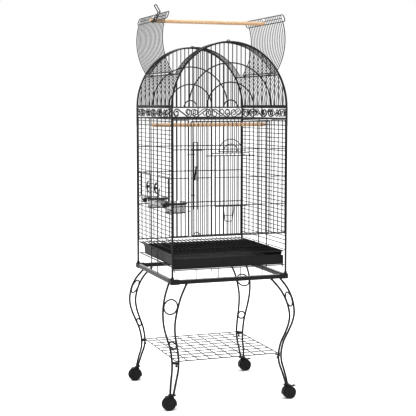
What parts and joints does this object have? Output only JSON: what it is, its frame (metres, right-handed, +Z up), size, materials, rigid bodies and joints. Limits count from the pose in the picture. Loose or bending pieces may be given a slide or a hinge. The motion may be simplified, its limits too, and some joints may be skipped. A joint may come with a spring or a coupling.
{
  "type": "bird cage on stand",
  "caption": "Square dome-top wire bird cage with an opening play top, slide-out tray and grate, feeder doors, cups in wall holders and a curved-leg rolling stand with a wire shelf.",
  "frame": {"origin": "on the floor, under the middle of the cage", "axes": "+Z up, -Y towards the door side, +X to the right seen from the door side"},
  "size_m": [0.5918, 0.5878, 1.6583],
  "materials": {
    "coated_steel": "satin black powder coat over steel wire and tube",
    "black_plastic": "fine-textured black moulded plastic",
    "pale_wood": "smooth pale dowel, clear finish",
    "stainless": "polished stainless cup"
  },
  "bodies": {
    "cage": {"stand_rail_front": "coated_steel", "stand_rail_back": "coated_steel", "stand_rail_left": "coated_steel", "stand_rail_right": "coated_steel", "corner_connector_front_left": "black_plastic", "corner_connector_front_right": "black_plastic", "corner_connector_back_left": "black_plastic", "corner_connector_back_right": "black_plastic", "leg_front_left": "coated_steel", "leg_front_right": "coated_steel", "leg_back_left": "coated_steel", "leg_back_right": "coated_steel", "thumb_screw_front_left": "black_plastic", "thumb_screw_front_right": "black_plastic", "thumb_screw_back_left": "black_plastic", "thumb_screw_back_right": "black_plastic", "shelf": "coated_steel", "post_front_left": "coated_steel", "post_front_right": "coated_steel", "post_back_left": "coated_steel", "post_back_right": "coated_steel", "front_gable": "coated_steel", "front_grille_left": "coated_steel", "front_grille_right": "coated_steel", "back_panel": "coated_steel", "left_wall": "coated_steel", "right_wall": "coated_steel", "roof_lower_left": "coated_steel", "roof_lower_right": "coated_steel", "roof_border_front": "coated_steel", "roof_border_back": "coated_steel", "inner_perch": "pale_wood", "cup_holder_front": "coated_steel", "cup_holder_back": "coated_steel", "tray_support": "coated_steel"},
    "caster_front_left": {"caster_hood_front_left": "black_plastic"},
    "wheel_front_left": {"caster_wheel_front_left": "black_plastic"},
    "caster_front_right": {"caster_hood_front_right": "black_plastic"},
    "wheel_front_right": {"caster_wheel_front_right": "black_plastic"},
    "caster_back_left": {"caster_hood_back_left": "black_plastic"},
    "wheel_back_left": {"caster_wheel_back_left": "black_plastic"},
    "caster_back_right": {"caster_hood_back_right": "black_plastic"},
    "wheel_back_right": {"caster_wheel_back_right": "black_plastic"},
    "brake_front_right": {"brake_lever_front_right": "black_plastic"},
    "brake_back_right": {"brake_lever_back_right": "black_plastic"},
    "leaf_left": {"roof_leaf_left": "coated_steel"},
    "leaf_right": {"roof_leaf_right": "coated_steel"},
    "latch_bail": {"roof_latch": "coated_steel"},
    "perch": {"top_perch": "pale_wood"},
    "door": {"front_door": "coated_steel"},
    "flap": {"small_door": "coated_steel"},
    "lift_latch": {"door_latch": "coated_steel"},
    "feeder_front": {"feeder_door_front": "coated_steel"},
    "cup_front": {"feeder_cup_front": "stainless"},
    "catch_front": {"feeder_catch_front": "black_plastic"},
    "feeder_back": {"feeder_door_back": "coated_steel"},
    "cup_back": {"feeder_cup_back": "stainless"},
    "catch_back": {"feeder_catch_back": "black_plastic"},
    "tray": {"tray": "black_plastic"},
    "grate": {"grate": "coated_steel"}
  },
  "joints": [
    {"name": "swivel_front_left", "type": "hinge", "parent": "cage", "child": "caster_front_left", "pos_m": [-0.25495, -0.25495, 0.055], "axis": [0, 0, 1], "continuous": true},
    {"name": "roll_front_left", "type": "hinge", "parent": "caster_front_left", "child": "wheel_front_left", "pos_m": [-0.26895, -0.25495, 0.027], "axis": [0, 1, 0], "continuous": true},
    {"name": "swivel_front_right", "type": "hinge", "parent": "cage", "child": "caster_front_right", "pos_m": [0.25495, -0.25495, 0.055], "axis": [0, 0, 1], "continuous": true},
    {"name": "roll_front_right", "type": "hinge", "parent": "caster_front_right", "child": "wheel_front_right", "pos_m": [0.26895, -0.25495, 0.027], "axis": [0, 1, 0], "continuous": true},
    {"name": "swivel_back_left", "type": "hinge", "parent": "cage", "child": "caster_back_left", "pos_m": [-0.25495, 0.25495, 0.055], "axis": [0, 0, 1], "continuous": true},
    {"name": "roll_back_left", "type": "hinge", "parent": "caster_back_left", "child": "wheel_back_left", "pos_m": [-0.26895, 0.25495, 0.027], "axis": [0, 1, 0], "continuous": true},
    {"name": "swivel_back_right", "type": "hinge", "parent": "cage", "child": "caster_back_right", "pos_m": [0.25495, 0.25495, 0.055], "axis": [0, 0, 1], "continuous": true},
    {"name": "roll_back_right", "type": "hinge", "parent": "caster_back_right", "child": "wheel_back_right", "pos_m": [0.26895, 0.25495, 0.027], "axis": [0, 1, 0], "continuous": true},
    {"name": "brake_front_right", "type": "hinge", "parent": "caster_front_right", "child": "brake_front_right", "pos_m": [0.28545, -0.25495, 0.0535], "axis": [0, -1, 0], "range_deg": [0, 30]},
    {"name": "brake_back_right", "type": "hinge", "parent": "caster_back_right", "child": "brake_back_right", "pos_m": [0.28545, 0.25495, 0.0535], "axis": [0, -1, 0], "range_deg": [0, 30]},
    {"name": "roof_leaf_left", "type": "hinge", "parent": "cage", "child": "leaf_left", "pos_m": [-0.2154, 0, 1.368], "axis": [0, 1, 0], "range_deg": [0, 64.7]},
    {"name": "roof_leaf_right", "type": "hinge", "parent": "cage", "child": "leaf_right", "pos_m": [0.2154, 0, 1.368], "axis": [0, -1, 0], "range_deg": [0, 64.7]},
    {"name": "roof_latch", "type": "hinge", "parent": "leaf_left", "child": "latch_bail", "pos_m": [-0.25741, 0, 1.58978], "axis": [0, 1, 0], "range_deg": [0, 60]},
    {"name": "perch_lift", "type": "slide", "parent": "cage", "child": "perch", "axis": [0, 0, 1], "range_m": [0, 0.1]},
    {"name": "front_door", "type": "hinge", "parent": "cage", "child": "door", "pos_m": [0.173, -0.25, 0.95], "axis": [0, 0, 1], "range_deg": [0, 115]},
    {"name": "small_door", "type": "hinge", "parent": "door", "child": "flap", "pos_m": [0, -0.255, 1.038], "axis": [-1, 0, 0], "range_deg": [0, 140]},
    {"name": "door_latch", "type": "slide", "parent": "door", "child": "lift_latch", "axis": [0, 0, 1], "range_m": [0, 0.03]},
    {"name": "feeder_door_front", "type": "hinge", "parent": "cage", "child": "feeder_front", "pos_m": [-0.249, -0.197, 0.8975], "axis": [0, 0, 1], "range_deg": [0, 95]},
    {"name": "cup_lift_front", "type": "slide", "parent": "cage", "child": "cup_front", "axis": [0, 0, 1], "range_m": [0, 0.05]},
    {"name": "feeder_catch_front", "type": "hinge", "parent": "feeder_front", "child": "catch_front", "pos_m": [-0.256, -0.06, 0.897], "axis": [1, 0, 0], "range_deg": [-25, 25]},
    {"name": "feeder_door_back", "type": "hinge", "parent": "cage", "child": "feeder_back", "pos_m": [-0.249, 0.197, 0.8975], "axis": [0, 0, -1], "range_deg": [0, 95]},
    {"name": "cup_lift_back", "type": "slide", "parent": "cage", "child": "cup_back", "axis": [0, 0, 1], "range_m": [0, 0.05]},
    {"name": "feeder_catch_back", "type": "hinge", "parent": "feeder_back", "child": "catch_back", "pos_m": [-0.256, 0.06, 0.897], "axis": [1, 0, 0], "range_deg": [-25, 25]},
    {"name": "tray_slide", "type": "slide", "parent": "cage", "child": "tray", "axis": [0, -1, 0], "range_m": [0, 0.45]},
    {"name": "grate_slide", "type": "slide", "parent": "cage", "child": "grate", "axis": [0, 1, 0], "range_m": [-0.45, 0]}
  ]
}
